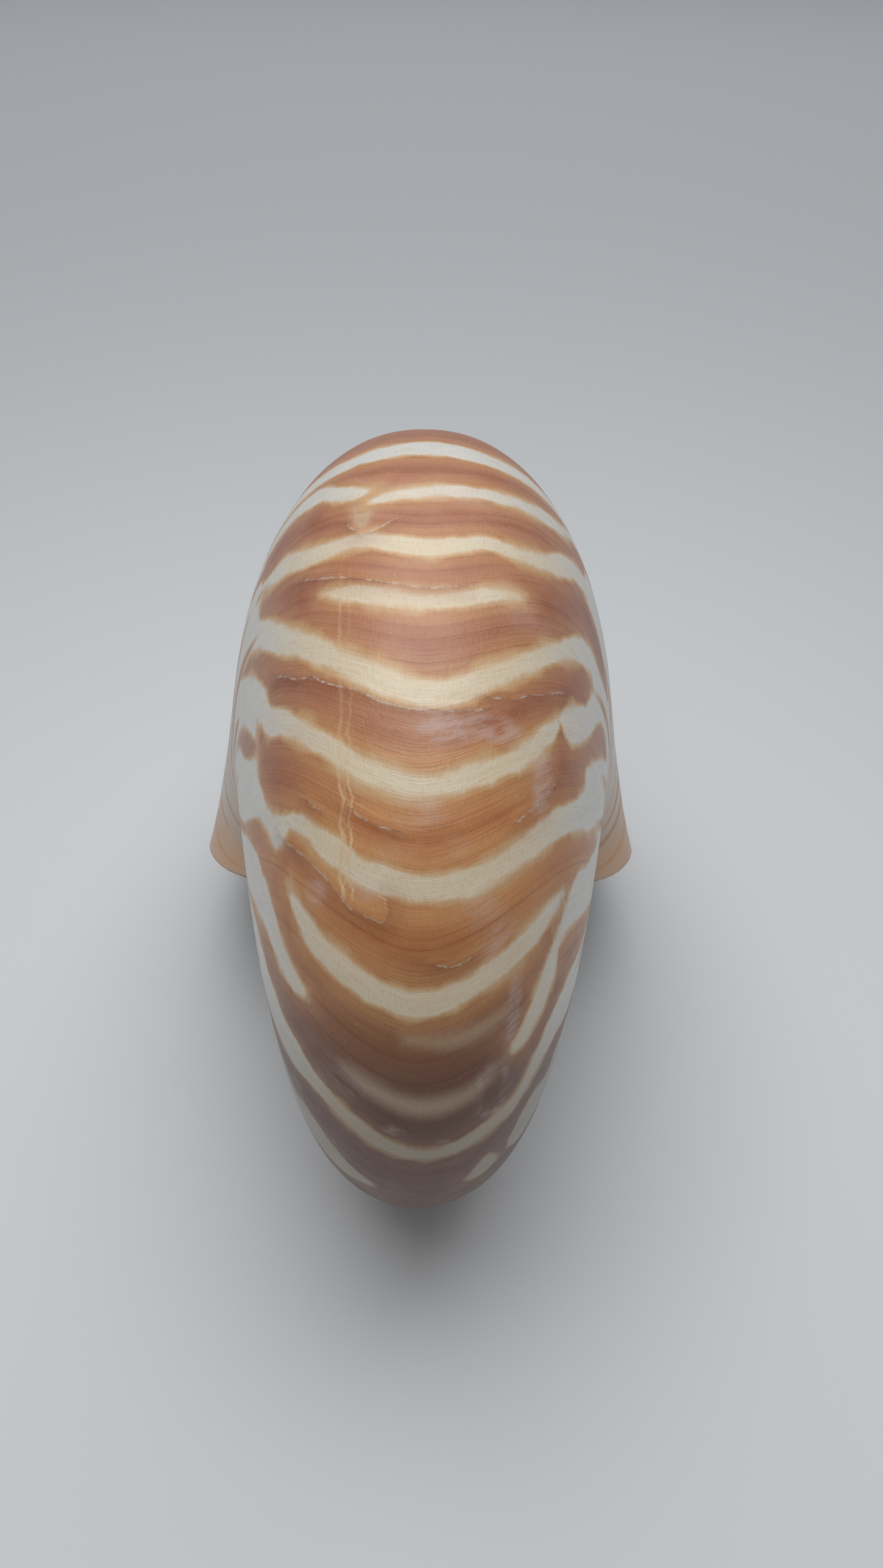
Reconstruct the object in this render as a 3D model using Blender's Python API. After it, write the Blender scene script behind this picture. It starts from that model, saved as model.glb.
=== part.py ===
"""Chambered nautilus shell, resting mouth down on its lip and on the back of its first whorl.

The shell grows as a log spiral round an axis that lies along X. A place on it is (turn, side): turn is
the angle in degrees back from the mouth, and side is 0 on the keel and +1 or -1 at an umbilical seam.
Metres, +Z up, lip towards +Y.
"""

import math

import bmesh
import bpy
from mathutils import Matrix, Vector

# Driving dimensions
MOUTH_RADIUS = 0.105
WHORL_EXPANSION = 3.03
WALL = 0.0016
CHAMBER_WALL = 0.0020
SEPTUM_THICKNESS = 0.0022
SEPTUM_DEPTH = 0.010
SEPTUM_CURVE = 1.5
SIPHUNCLE_RADIUS = 0.0019
CALLUS_HEIGHT = 0.0165

# Where things lie round the coil, in degrees back from the mouth
SEPTUM_TURN = 128.0
FIRST_CHAMBER_TURN = 600.0
CALLUS_THIN_TURN = 12.0
CALLUS_FULL_TURN = 110.0

# Section of a whorl, in shares of the keel radius
HALF_WIDTH = 0.4125
SHOULDER_RADIUS = 0.312
SEAM_RADIUS = 0.085
KEEL_ROUNDNESS = 2.05
FLANK_ROUNDNESS = 2.18
SHOULDER_ROUNDNESS = 2.0
SIPHUNCLE_LEVEL = 0.5

# Seam height, in shares of the half width: the callus has filled the older part
OPEN_SEAM = 0.42
FILLED_SEAM = 0.70

# Ears: near the mouth the umbilical shoulder's corner sharpens
EAR_ROUNDNESS = 0.9
EAR_TURNS = 26.0

# Growth lines, in degrees of turn, across the side from keel to seam
SHOULDER_SIDE = 0.68
LIP_KEEL_TURN = 11.0
SINUS_ANGLE = 13.0
SINUS_SIDE = 0.5
SINUS_SHARPNESS = 1.6
EYE_SINUS_ANGLE = 8.0
LIP_FADE = 4.0

# Power of a hollow's corner where it wraps round the whorl inside it, far back and at the mouth
LOBE_POWER = 0.92
MOUTH_LOBE_POWER = 0.70

# Facets
ROWS_ROUND = 62
FLANK_FACETS = 10
UMBILICAL_FACETS = 5
FLOOR_COLUMN = 10
LIVING_ROWS = 17
CHAMBER_ROWS = 22
SEPTUM_RINGS = 4
CALLUS_RINGS = 3
CALLUS_COLUMNS = 3

SMOOTH_BELOW = math.radians(40)
SHELL_COLOUR = (0.72, 0.50, 0.33, 1.0)
SHELL_ROUGHNESS = 0.28


def half_columns():
    """The sides of the columns from the keel to the seam."""
    flank = [SHOULDER_SIDE * i / FLANK_FACETS for i in range(FLANK_FACETS + 1)]
    step = (1 - SHOULDER_SIDE) / UMBILICAL_FACETS
    return flank + [SHOULDER_SIDE + step * i for i in range(1, UMBILICAL_FACETS + 1)]


HALF = half_columns()
COLUMNS = [-side for side in reversed(HALF[1:])] + HALF
KEEL = len(HALF) - 1
FLOOR = range(KEEL - FLOOR_COLUMN, KEEL + FLOOR_COLUMN + 1)


def smooth(share):
    """From 0 to 1, level at both ends."""
    share = min(max(share, 0.0), 1.0)
    return share * share * (3 - 2 * share)


def between(start, end, share):
    return start + (end - start) * share


def keel_radius(turn):
    return MOUTH_RADIUS * WHORL_EXPANSION ** (-turn / 360)


def ear_share(turn):
    """1 at the mouth, where the ears' corners are sharpest, and 0 further back."""
    return smooth(1 - turn / EAR_TURNS)


def seam_share(turn):
    filled = smooth((turn - CALLUS_THIN_TURN) / (CALLUS_FULL_TURN - CALLUS_THIN_TURN))
    return OPEN_SEAM + filled * (FILLED_SEAM - OPEN_SEAM)


def section(turn, side):
    """A whorl's outside as (distance from the axis, half width), in shares of the keel radius."""
    side = abs(side)
    if side <= SHOULDER_SIDE:
        angle = math.pi / 2 * side / SHOULDER_SIDE
        rise = max(math.cos(angle), 0.0) ** (2 / KEEL_ROUNDNESS)
        radius = SHOULDER_RADIUS + (1 - SHOULDER_RADIUS) * rise
        width = math.sin(angle) ** (2 / FLANK_ROUNDNESS)
    else:
        angle = math.pi / 2 * (side - SHOULDER_SIDE) / (1 - SHOULDER_SIDE)
        power = 2 / (SHOULDER_ROUNDNESS + EAR_ROUNDNESS * ear_share(turn))
        seam = seam_share(turn)
        radius = SHOULDER_RADIUS - (SHOULDER_RADIUS - SEAM_RADIUS) * math.sin(angle) ** power
        width = seam + (1 - seam) * max(math.cos(angle), 0.0) ** power
    return radius, HALF_WIDTH * width


def place(turn, radius, across):
    """A point from its turn, its distance from the axis and its distance from the keel's plane."""
    angle = math.radians(turn)
    return Vector((across, radius * math.cos(angle), radius * math.sin(angle)))


def outside(turn, side):
    radius, width = section(turn, side)
    scale = keel_radius(turn)
    return place(turn, radius * scale, math.copysign(width * scale, side))


def lip_turn(side):
    """Turn of the lip. Over the keel it has a deep bay, on each side of it a forward lobe, and
    towards each umbilicus a shallow bay at the eye."""
    side = abs(side)
    if side <= SINUS_SIDE:
        return LIP_KEEL_TURN - SINUS_ANGLE * math.sin(math.pi / 2 * side / SINUS_SIDE) ** SINUS_SHARPNESS
    share = (side - SINUS_SIDE) / (1 - SINUS_SIDE)
    return LIP_KEEL_TURN - SINUS_ANGLE + EYE_SINUS_ANGLE * math.sin(math.pi * share) ** 2


LIP_TURNS = [lip_turn(side) for side in COLUMNS]
SEAM_TURN = LIP_TURNS[-1]


def outer_row(share):
    """Points of the outside, from the lip at share 0 back to one whole whorl at share 1."""
    level = share * (360 + SEAM_TURN)
    fade = (1 - share) ** LIP_FADE
    return [outside(level + fade * turn, side) for turn, side in zip(LIP_TURNS, COLUMNS)]


def hollow_half(turn, wall):
    """A hollow's wall as (distance from the axis, half width) in shares of the keel radius, from the
    keel to where it meets the whorl inside it."""
    thin = wall / keel_radius(turn)
    points = []
    for i in range(FLANK_FACETS + 1):
        angle = math.pi / 2 * i / FLANK_FACETS
        radius, width = section(turn, HALF[i])
        points.append((radius - thin * math.cos(angle), width - thin * math.sin(angle)))
    shoulder_radius, shoulder_width = points[-1]
    floor_radius, floor_width = section(360 + turn, HALF[FLOOR_COLUMN])
    floor_radius /= WHORL_EXPANSION
    floor_width /= WHORL_EXPANSION
    power = between(LOBE_POWER, MOUTH_LOBE_POWER, ear_share(turn))
    for i in range(1, UMBILICAL_FACETS):
        angle = math.pi / 2 * i / UMBILICAL_FACETS
        inward = math.sin(angle) ** power
        outward = math.cos(angle) ** power
        radius = between(shoulder_radius, floor_radius, inward)
        points.append((radius, between(floor_width, shoulder_width, outward)))
    return points


def wall_row(turns, wall):
    """Points of a hollow's wall from left to right, at a turn for each column."""
    points = []
    for column in range(1, len(COLUMNS) - 1):
        turn = turns[column]
        radius, width = hollow_half(turn, wall)[abs(column - KEEL)]
        scale = keel_radius(turn)
        points.append(place(turn, radius * scale, math.copysign(width * scale, COLUMNS[column])))
    return points


def floor_row(turn):
    """Points of a hollow's floor from left to right: the outside of the whorl within."""
    return [outside(360 + turn, COLUMNS[column]) for column in FLOOR]


def add_row(mesh, points):
    return [mesh.verts.new(point) for point in points]


def ring_of(wall, floor):
    """The closed ring round a hollow, from the floor's left edge over the wall and back."""
    return [floor[0]] + wall + floor[:0:-1]


def join_rows(mesh, first, second, closed):
    """Quads between two rows of as many vertices."""
    for i in range(len(first) if closed else len(first) - 1):
        j = (i + 1) % len(first)
        mesh.faces.new((first[i], first[j], second[j], second[i]))


def join_edges(mesh, first, second):
    """Triangles between two rows whose numbers of vertices differ."""
    i, j = 0, 0
    while i + j < len(first) + len(second) - 2:
        if i * (len(second) - 1) <= j * (len(first) - 1) and i < len(first) - 1:
            mesh.faces.new((first[i], first[i + 1], second[j]))
            i += 1
        else:
            mesh.faces.new((first[i], second[j + 1], second[j]))
            j += 1


def hollow(mesh, ring, rows):
    """Carries a ring on through the (wall, floor) rows of a hollow."""
    for wall, floor in rows:
        deeper = ring_of(wall, floor)
        join_rows(mesh, ring, deeper, closed=True)
        ring = deeper
    return ring


def living_chamber(mesh, lip_wall, mouth_floor):
    """The open chamber. Returns its last wall and floor, where the septum starts."""
    rows = []
    for row in range(1, LIVING_ROWS + 1):
        share = row / LIVING_ROWS
        wall = wall_row([between(turn, SEPTUM_TURN, share) for turn in LIP_TURNS], WALL)
        floor = floor_row(between(SEAM_TURN, SEPTUM_TURN, share))
        rows.append((add_row(mesh, wall), add_row(mesh, floor)))
    hollow(mesh, ring_of(lip_wall, mouth_floor), rows)
    return rows[-1]


def along(points, share):
    """The point at a share of the way along a row."""
    place_in_row = min(max(share, 0.0), 1.0) * (len(points) - 1)
    start = min(int(place_in_row), len(points) - 2)
    return points[start].lerp(points[start + 1], place_in_row - start)


def septum_rings(wall, floor, turn):
    """Rings of points from a hollow's edge in to the siphuncle's hole, dished away from the mouth."""
    roof = [vertex.co for vertex in [floor[0]] + wall + [floor[-1]]]
    base = [vertex.co for vertex in floor]
    rim = [(i / (len(roof) - 1), 1.0) for i in range(len(roof) - 1)]
    rim += [(i / (len(base) - 1), 0.0) for i in range(len(base) - 1, 0, -1)]
    centre = along(base, 0.5).lerp(along(roof, 0.5), SIPHUNCLE_LEVEL)
    back = place(turn + 90, 1.0, 0.0)
    rings = []
    for i in range(1, SEPTUM_RINGS + 1):
        share = i / SEPTUM_RINGS
        inner = min(share, 1 - 0.5 / SEPTUM_RINGS)
        points = []
        for across, up in rim:
            across = between(across, 0.5, inner)
            up = between(up, SIPHUNCLE_LEVEL, inner)
            away = along(base, across).lerp(along(roof, across), up) - centre
            if i == SEPTUM_RINGS:
                away = away.normalized() * SIPHUNCLE_RADIUS
            points.append(centre + away + back * SEPTUM_DEPTH * share**SEPTUM_CURVE)
        rings.append(points)
    return rings


def septum_and_chambers(mesh, wall, floor):
    """The dished septum with its hole, and the hollow behind it for the gas chambers."""
    angle = math.degrees(SEPTUM_THICKNESS / (SHOULDER_RADIUS * keel_radius(SEPTUM_TURN)))
    start = SEPTUM_TURN + angle
    rows = []
    for row in range(CHAMBER_ROWS + 1):
        turn = between(start, FIRST_CHAMBER_TURN, row / CHAMBER_ROWS)
        thickness = CHAMBER_WALL * min(1.0, 2 * keel_radius(turn) / keel_radius(360))
        points = wall_row([turn] * len(COLUMNS), thickness)
        rows.append((add_row(mesh, points), add_row(mesh, floor_row(turn))))
    front = septum_rings(wall, floor, SEPTUM_TURN)
    behind = septum_rings(*rows[0], start)
    ring = ring_of(wall, floor)
    for points in front + behind[::-1]:
        deeper = add_row(mesh, points)
        join_rows(mesh, ring, deeper, closed=True)
        ring = deeper
    hollow(mesh, ring, rows)
    join_edges(mesh, rows[-1][0], rows[-1][1])


def lip(mesh, first, last, lip_wall):
    """The rounded lip, and at each umbilicus the web from it to the whorl within."""
    forward = place(LIP_KEEL_TURN - 90, WALL / 2, 0.0)
    edge = first[1:-1]
    rim = add_row(mesh, [(out.co + inn.co) / 2 + forward for out, inn in zip(edge, lip_wall)])
    join_rows(mesh, edge, rim, closed=False)
    join_rows(mesh, rim, lip_wall, closed=False)
    for end, old in ((0, last[FLOOR[0] : CALLUS_COLUMNS - 1 : -1]), (-1, last[FLOOR[-1] : -CALLUS_COLUMNS])):
        mesh.faces.new((edge[end], rim[end], lip_wall[end]))
        join_edges(mesh, [edge[end], first[end]], [lip_wall[end]] + old)


def callus(mesh, seam, toward):
    """The callus that closes an umbilicus, inside the seam's spiral and the edge of the web."""
    centre = Vector((toward * CALLUS_HEIGHT, 0.0, 0.0))
    ring = seam
    for i in range(1, CALLUS_RINGS + 1):
        share = i / (CALLUS_RINGS + 1)
        points = [vertex.co.lerp(centre, share) for vertex in seam]
        for point, vertex in zip(points, seam):
            point.x = between(vertex.co.x, centre.x, math.sin(math.pi / 2 * share))
        deeper = add_row(mesh, points)
        join_rows(mesh, ring, deeper, closed=True)
        ring = deeper
    middle = mesh.verts.new(centre)
    for i, vertex in enumerate(ring):
        mesh.faces.new((vertex, ring[(i + 1) % len(ring)], middle))


def shell_mesh():
    """The whole shell as one closed skin, about the coil's axis."""
    mesh = bmesh.new()
    rows = [add_row(mesh, outer_row(row / ROWS_ROUND)) for row in range(ROWS_ROUND + 1)]
    for newer, older in zip(rows, rows[1:]):
        join_rows(mesh, newer, older, closed=False)
    lip_wall = add_row(mesh, wall_row(LIP_TURNS, WALL))
    mouth_floor = [rows[-1][column] for column in FLOOR]
    wall, floor = living_chamber(mesh, lip_wall, mouth_floor)
    septum_and_chambers(mesh, wall, floor)
    lip(mesh, rows[0], rows[-1], lip_wall)
    callus(mesh, [row[0] for row in rows] + rows[-1][1 : CALLUS_COLUMNS + 1], -1)
    callus(mesh, [row[-1] for row in rows] + rows[-1][-2 : -CALLUS_COLUMNS - 2 : -1], 1)
    bmesh.ops.recalc_face_normals(mesh, faces=mesh.faces)
    data = bpy.data.meshes.new("shell")
    mesh.to_mesh(data)
    mesh.free()
    data.shade_smooth()
    data.set_sharp_from_angle(angle=SMOOTH_BELOW)
    return data


def resting_tilt(data):
    """How far the coil leans on to its lip, in radians, when lip and first whorl share one floor."""
    low, high = 0.0, math.radians(45)
    while high - low > 1e-7:
        tilt = (low + high) / 2
        turned = Matrix.Rotation(-tilt, 3, "X")
        points = [turned @ vertex.co for vertex in data.vertices]
        lip_height = min(point.z for point in points if point.y > MOUTH_RADIUS / 2)
        back_height = min(point.z for point in points if point.y <= MOUTH_RADIUS / 2)
        if lip_height > back_height:
            low = tilt
        else:
            high = tilt
    return low


def shell_material():
    material = bpy.data.materials.new("shell")
    material.use_nodes = True
    shader = material.node_tree.nodes["Principled BSDF"]
    shader.inputs["Base Color"].default_value = SHELL_COLOUR
    shader.inputs["Roughness"].default_value = SHELL_ROUGHNESS
    shader.inputs["Metallic"].default_value = 0.0
    return material


def place_shell():
    """The shell object, its origin on the coil's axis, standing centred over the world's origin."""
    data = shell_mesh()
    data.materials.append(shell_material())
    shell = bpy.data.objects.new("shell", data)
    bpy.context.scene.collection.objects.link(shell)
    tilt = resting_tilt(data)
    points = [Matrix.Rotation(-tilt, 3, "X") @ vertex.co for vertex in data.vertices]
    depth = [point.y for point in points]
    shell.rotation_euler.x = -tilt
    shell.location = (0.0, -(min(depth) + max(depth)) / 2, -min(point.z for point in points))


def clear_scene():
    for thing in list(bpy.data.objects):
        bpy.data.objects.remove(thing)


clear_scene()
place_shell()
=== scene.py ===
"""Chambered nautilus shell: its striped outside, its pearly living chamber and its studio.

A place on the shell is (turn, girth). Turn is the angle in degrees back from the mouth, and girth is the
way round a whorl from the keel, 0 on the keel and about 0.69 at the umbilical shoulder, negative on the
left. The flat drawing of the stripes takes GIRTH_SPAN units of girth to be as long as one degree of turn.
Metres, +Z up, lip towards +Y.
"""

import math

import bmesh
import bpy
import numpy as np
from mathutils import Matrix, Vector


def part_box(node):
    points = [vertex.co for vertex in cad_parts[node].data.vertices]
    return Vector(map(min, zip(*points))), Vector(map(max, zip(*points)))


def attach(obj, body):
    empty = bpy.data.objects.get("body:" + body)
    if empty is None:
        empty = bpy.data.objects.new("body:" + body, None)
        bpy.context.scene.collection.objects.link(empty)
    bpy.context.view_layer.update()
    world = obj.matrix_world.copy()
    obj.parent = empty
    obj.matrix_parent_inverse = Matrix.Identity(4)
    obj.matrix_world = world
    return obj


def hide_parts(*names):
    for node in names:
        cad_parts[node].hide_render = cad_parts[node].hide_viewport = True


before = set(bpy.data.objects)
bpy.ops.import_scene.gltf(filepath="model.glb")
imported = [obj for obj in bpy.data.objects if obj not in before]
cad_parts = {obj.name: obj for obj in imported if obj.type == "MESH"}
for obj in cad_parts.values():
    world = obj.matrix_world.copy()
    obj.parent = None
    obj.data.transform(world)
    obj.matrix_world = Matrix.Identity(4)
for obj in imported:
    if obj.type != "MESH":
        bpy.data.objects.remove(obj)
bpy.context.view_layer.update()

bl_info = {
    "name": "Chambered Nautilus Shell",
    "version": (1, 0, 0),
    "blender": (4, 5, 0),
    "location": "View3D > Sidebar > Nautilus",
    "description": "Models a striped nautilus shell lying mouth down, and a plain studio for it",
    "category": "Object",
}

SHELL_NODE = "shell"
FLOOR_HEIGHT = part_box(SHELL_NODE)[0].z

# The coil as the solid has it, its lengths in shares of the keel radius
WHORL_EXPANSION = 3.03
HALF_WIDTH = 0.4125
SHOULDER_RADIUS = 0.312
SEAM_RADIUS = 0.085
KEEL_ROUNDNESS = 2.05
FLANK_ROUNDNESS = 2.18
SHOULDER_ROUNDNESS = 2.0
SHOULDER_SIDE = 0.68
OPEN_SEAM = 0.42
FILLED_SEAM = 0.70
EAR_ROUNDNESS = 0.9
EAR_TURNS = 26.0
CALLUS_THIN_TURN = 12.0
CALLUS_FULL_TURN = 110.0
LOBE_POWER = 0.92
MOUTH_LOBE_POWER = 0.70
SEPTUM_TURN = 128.0
SEPTUM_CURVE = 1.5
SIPHUNCLE_LEVEL = 0.5

# The lip's line, in degrees of turn, from the keel to the seam
LIP_KEEL_TURN = 11.0
SINUS_ANGLE = 13.0
SINUS_SIDE = 0.5
SINUS_SHARPNESS = 1.6
EYE_SINUS_ANGLE = 8.0
LIP_FADE = 4.0

# How fine the mesh is
FLANK_COLUMNS = 42
UMBILICAL_COLUMNS = 15
CALLUS_COLUMNS = 9
LIVING_ROWS = 70
SEPTUM_RINGS = 22
SIPHUNCLE_RINGS = 5
LIP_RINGS = 4
LIP_TAPER_ROWS = 8
CALLUS_RINGS = 8
FINE_ROWS_START = 82.0
FINE_ROWS_END = 228.0
ROWS_BEFORE_STRIPES = 62
ROWS_OF_STRIPES = 330
ROWS_AFTER_STRIPES = 84

# The stripes' drawing
GIRTH_SPAN = 74.0
SECTION_GIRTH = 1.29
PLAIN_TURN = 228.0
FLANK_EDGE = 0.345
DRAWING_START = 80.0
DRAWING_START_BLEND = 5.0
DRAWING_END = 222.0
DRAWING_END_BLEND = 10.0
FAR_OUTSIDE = -9.0
CORNER_SOFTNESS = 0.8

# White bands as (girth, turn where it starts, turn where it ends), from left to right
WHITE_BANDS = (
    ((-0.42, 50, 77), (-0.3, 62, 78), (-0.2, 69, 81), (-0.1, 75, 83.2), (0, 77, 84), (0.1, 75, 83.2),
     (0.2, 69, 81), (0.3, 62, 78), (0.42, 50, 77)),
    ((-0.42, 78, 82), (-0.3, 86.5, 91), (-0.2, 93, 97.5), (-0.1, 98, 102), (0, 98, 103),
     (0.1, 97.7, 102), (0.2, 92.7, 97), (0.3, 86, 90.5), (0.42, 78, 82)),
    ((-0.42, 84, 89), (-0.3, 93.5, 98), (-0.25, 96.5, 100.5), (-0.2, 99.7, 104), (-0.17, 101.3, 105.6),
     (-0.14, 105, 109), (-0.1, 108.6, 111), (-0.082, 109.8, 110.6)),
    ((-0.085, 112.4, 113.2), (-0.04, 111.8, 113.6), (0, 111.2, 113.5), (0.1, 109, 111.3),
     (0.15, 106.7, 109.3), (0.2, 103, 106.7), (0.25, 98.7, 102.7), (0.28, 94, 98.5), (0.32, 88, 93),
     (0.4, 80, 85)),
    ((-0.38, 102, 106), (-0.29, 108.3, 112.7), (-0.25, 110.3, 114.7), (-0.2, 114, 117.7),
     (-0.14, 117, 119.7), (-0.1, 118, 120.4), (0, 120.7, 123.3), (0.1, 118.5, 120.6),
     (0.15, 117.2, 119.8), (0.2, 114.3, 117.7), (0.25, 109, 114.3), (0.3, 104, 109.3), (0.36, 99, 105)),
    ((-0.158, 124.4, 125), (-0.14, 124.7, 126.3), (-0.1, 125.7, 128), (-0.05, 127.5, 129.7),
     (0, 128.3, 130.4), (0.05, 127.7, 129.7), (0.1, 126, 128), (0.15, 125, 125.7)),
    ((-0.38, 110, 119), (-0.29, 120, 126), (-0.25, 124, 128.7), (-0.2, 128, 132), (-0.14, 132.3, 135.7),
     (-0.1, 134.7, 138), (-0.05, 137, 140.3), (0, 138.7, 141.7), (0.1, 135.7, 138.7), (0.15, 133, 136),
     (0.2, 129.7, 132.7), (0.25, 126, 129.3), (0.3, 121.3, 126), (0.38, 117, 122)),
    ((-0.38, 124, 130), (-0.313, 130, 136.7), (-0.29, 134, 138.7), (-0.25, 136.7, 140.3),
     (-0.2, 139.7, 143), (-0.14, 143.3, 146.3), (-0.1, 145.7, 148.7), (0, 148.7, 151), (0.1, 146.3, 149),
     (0.15, 144.3, 147), (0.2, 140.3, 143.7), (0.228, 138.2, 141), (0.245, 136.9, 138.7),
     (0.267, 134.7, 140), (0.3, 133, 139.3), (0.333, 129, 137), (0.39, 124, 131)),
    ((-0.44, 136, 146), (-0.347, 143, 149), (-0.307, 148, 152.6), (-0.28, 150, 155),
     (-0.255, 150.8, 154.6), (-0.233, 150.9, 153), (-0.2, 151.3, 154), (-0.167, 153.3, 156.3),
     (-0.133, 154.7, 158.3), (-0.087, 157.3, 160.3), (-0.05, 158.3, 161.3), (0, 159.2, 161.9),
     (0.05, 158.6, 161.7), (0.1, 157.3, 160.7), (0.15, 155, 158.3), (0.2, 152, 156), (0.25, 149.3, 153.3),
     (0.3, 147.3, 152), (0.36, 143, 150), (0.44, 138, 147)),
    ((-0.243, 160, 160.8), (-0.227, 161, 164), (-0.2, 163, 167.3), (-0.173, 165, 169.3),
     (-0.14, 167.3, 171.3), (-0.1, 169.3, 173), (-0.05, 171.4, 174.6), (0, 172.2, 175.4),
     (0.05, 171.4, 174.5), (0.1, 169.3, 172.3), (0.15, 167, 170.3), (0.2, 164, 167.7), (0.233, 162, 165.3),
     (0.29, 159.4, 160.6)),
    ((-0.5, 148, 157), (-0.42, 152.5, 162.5), (-0.35, 157.5, 166), (-0.313, 161, 171),
     (-0.28, 166.8, 173.2), (-0.247, 171, 175), (-0.207, 174, 175.2)),
    ((0.17, 181, 182.6), (0.2, 177, 182), (0.227, 172.5, 179.5), (0.267, 166.7, 174.7), (0.3, 161.5, 167.3),
     (0.333, 158, 165.5), (0.4, 156, 164), (0.5, 150, 161)),
    ((-0.44, 168, 181), (-0.4, 171.3, 184), (-0.3, 181.3, 190.7), (-0.25, 184.3, 190.6),
     (-0.2, 187.7, 191.7), (-0.14, 190.7, 194), (-0.1, 192.7, 196.3), (-0.05, 195.3, 198.3),
     (0, 197, 199.3), (0.1, 194.7, 197.7), (0.15, 192.7, 196), (0.193, 191, 194.7), (0.25, 184, 189.7),
     (0.3, 178.7, 186.7), (0.4, 174, 183.3)),
    ((-0.44, 190, 202), (-0.3, 199, 210), (-0.227, 201, 212), (-0.15, 206, 212.5), (-0.09, 210, 211.4)),
    ((0.1, 208, 209), (0.147, 203, 209.5), (0.17, 205.6, 207.6)),
    ((0.2, 203, 206), (0.23, 198, 208), (0.33, 195, 205), (0.44, 188, 198)),
)

# Bands that show only as a paler line in the brown
FAINT_BANDS = (
    ((-0.13, 183.2, 184.2), (-0.08, 184.8, 187.4), (0, 187.0, 190.0), (0.08, 186.0, 188.6),
     (0.13, 184.4, 185.6)),
    ((-0.02, 177.9, 178.6), (0.05, 177.7, 179.3), (0.1, 176.6, 178.4), (0.15, 175.0, 176.2)),
    ((-0.13, 107, 109), (-0.112, 107.5, 113.5), (-0.095, 108, 118.8), (-0.078, 109, 115.5),
     (-0.06, 110, 111.5)),
)

# Brown tongues that run out on to the white flanks
TONGUES = (
    ((-0.51, 67.5, 69), (-0.42, 73, 77.5), (-0.345, 76.8, 83), (-0.28, 78.8, 87)),
    ((0.28, 78.8, 87), (0.345, 76.8, 83), (0.42, 73, 77.5), (0.49, 69, 70.5)),
    ((0.28, 97, 105), (0.31, 94, 100.5), (0.34, 90, 97), (0.4, 84, 90), (0.47, 79, 81.5)),
    ((0.28, 111, 122), (0.3, 109.7, 120.7), (0.37, 107.3, 118), (0.41, 107, 117.6), (0.467, 108.7, 114.7),
     (0.51, 109.6, 111.4)),
    ((0.28, 128, 134), (0.3, 126.7, 132.7), (0.333, 125.3, 131.3), (0.355, 123.6, 128), (0.37, 123.2, 124.4)),
    ((0.28, 141, 147), (0.3, 139.7, 144.7), (0.333, 137.3, 142), (0.37, 133.5, 139), (0.42, 127.5, 135.5),
     (0.45, 125.5, 133), (0.493, 124, 130), (0.535, 124.6, 126)),
    ((0.28, 152.6, 159.7), (0.333, 151, 157.3), (0.4, 149.3, 155), (0.447, 148, 152), (0.49, 147.6, 149)),
    ((0.28, 169, 180), (0.3, 167.3, 177.3), (0.367, 164.7, 174), (0.4, 164, 172.7), (0.48, 162, 168),
     (0.54, 161, 163)),
    ((0.28, 187.6, 195), (0.3, 186.7, 193.3), (0.367, 185, 190.7), (0.43, 182, 187), (0.5, 179, 181)),
    ((-0.44, 91, 93), (-0.35, 97.6, 101.5), (-0.28, 101, 106)),
    ((-0.37, 105, 106.6), (-0.333, 107, 109.6), (-0.31, 110, 115.5), (-0.28, 114, 121)),
    ((-0.45, 113.8, 115.4), (-0.393, 116.7, 121.3), (-0.353, 119.7, 125.3), (-0.28, 127, 132)),
    ((-0.53, 124, 126), (-0.48, 125, 129), (-0.45, 127, 133), (-0.413, 130, 136.7), (-0.38, 133.4, 138),
     (-0.34, 137.8, 140.4), (-0.28, 140, 146)),
    ((-0.44, 147, 149), (-0.42, 147.3, 150.7), (-0.387, 148, 153.3), (-0.347, 149.3, 156.7),
     (-0.313, 152, 160), (-0.28, 156, 166)),
    ((-0.5, 158, 160), (-0.42, 162.7, 168), (-0.35, 166.5, 176.7), (-0.28, 173.6, 182)),
    ((-0.48, 181, 183), (-0.42, 184, 190), (-0.36, 187.5, 197), (-0.28, 191, 201.5)),
)

# The stripes that carry on where the drawing ends, one after another round the whorl
NEAR_BAND_TURNS = (74.0, 60.5, 49.0)
NEAR_BAND_HALF_WIDTHS = (4.2, 2.9, 1.5)
NEAR_BAND_REACH = 0.5
FAR_BAND_START = 221.0
FAR_BAND_END = 358.0
FAR_BAND_STEP = 13.5
FAR_BAND_HALF_WIDTH = 5.0
BAND_LEAN = 100.0
BAND_LEAN_POWER = 1.5

# Flames that spread from the umbilicus
FLAME_GIRTH = 0.64
FLAMES_START = 52.0
FLAME_STEP = 12.5
FLAME_HALF_WIDTH = 2.6
FLAME_REACH = 0.22
FLAME_LEAN = 0.55
FLAME_SLOPE = 0.8
SEED = 11

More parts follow.
